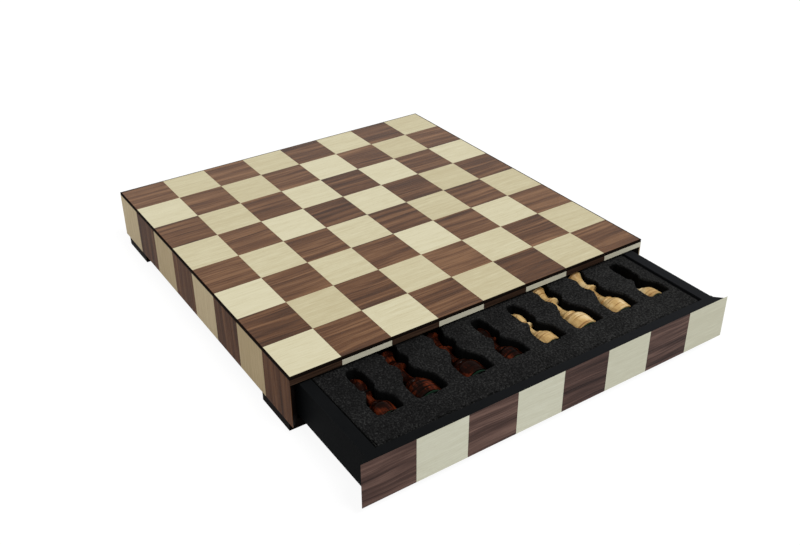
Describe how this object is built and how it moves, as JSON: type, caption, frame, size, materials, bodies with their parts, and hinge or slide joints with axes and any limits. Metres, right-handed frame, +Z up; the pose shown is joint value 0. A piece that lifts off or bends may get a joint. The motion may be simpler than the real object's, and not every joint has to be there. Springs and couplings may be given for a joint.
{
  "type": "chess box with drawer",
  "caption": "Shallow square chess board box in walnut and maple veneer, with a full-depth drawer that holds the men in a cut foam tray.",
  "frame": {"origin": "on the surface that the box stands on, in the middle of its width, and midway between the drawer's face and the back of the box with the drawer at rest, 104 mm open; the middle of the carcass is at y = +52 mm", "axes": "+X to the right along the front, +Y from the drawer's face to the back, +Z up"},
  "size_m": [0.38, 0.484, 0.059],
  "materials": {
    "walnut_veneer": "satin",
    "maple_veneer": "satin",
    "black_lacquer": "satin",
    "dowel_beech": "matte",
    "charcoal_foam": "matte",
    "stained_boxwood": "gloss",
    "natural_boxwood": "satin",
    "green_felt": "matte",
    "screw_steel": "satin"
  },
  "bodies": {
    "carcass": {"board_panel": "black_lacquer", "board_walnut_squares": "walnut_veneer", "board_maple_squares": "maple_veneer", "sub_top": "black_lacquer", "front_rail": "black_lacquer", "rail_walnut_strips": "walnut_veneer", "rail_maple_strips": "maple_veneer", "left_side_panel": "black_lacquer", "left_walnut_veneer": "walnut_veneer", "left_maple_veneer": "maple_veneer", "right_side_panel": "black_lacquer", "right_walnut_veneer": "walnut_veneer", "right_maple_veneer": "maple_veneer", "back_panel": "black_lacquer", "back_walnut_veneer": "walnut_veneer", "back_maple_veneer": "maple_veneer", "bottom_panel": "black_lacquer", "carcass_dowels": "dowel_beech", "front_left_foot": "black_lacquer", "front_right_foot": "black_lacquer", "back_left_foot": "black_lacquer", "back_right_foot": "black_lacquer", "foot_screws": "screw_steel", "stop_screws": "screw_steel"},
    "drawer": {"drawer_front": "black_lacquer", "front_walnut_veneer": "walnut_veneer", "front_maple_veneer": "maple_veneer", "drawer_left_side": "black_lacquer", "drawer_right_side": "black_lacquer", "drawer_back": "black_lacquer", "drawer_bottom": "black_lacquer", "drawer_dowels": "dowel_beech", "foam_front_left": "charcoal_foam", "foam_front_right": "charcoal_foam", "foam_second_left": "charcoal_foam", "foam_second_right": "charcoal_foam", "foam_third_strip": "charcoal_foam", "foam_back_strip": "charcoal_foam", "dark_king": "stained_boxwood", "dark_queen": "stained_boxwood", "dark_bishops": "stained_boxwood", "dark_knights": "stained_boxwood", "dark_rooks": "stained_boxwood", "dark_pawns": "stained_boxwood", "light_king": "natural_boxwood", "light_queen": "natural_boxwood", "light_bishops": "natural_boxwood", "light_knights": "natural_boxwood", "light_rooks": "natural_boxwood", "light_pawns": "natural_boxwood", "base_felts": "green_felt"}
  },
  "joints": [
    {"name": "drawer_slide", "type": "slide", "parent": "carcass", "child": "drawer", "axis": [0, -1, 0], "range_m": [-0.104, 0.234]}
  ]
}
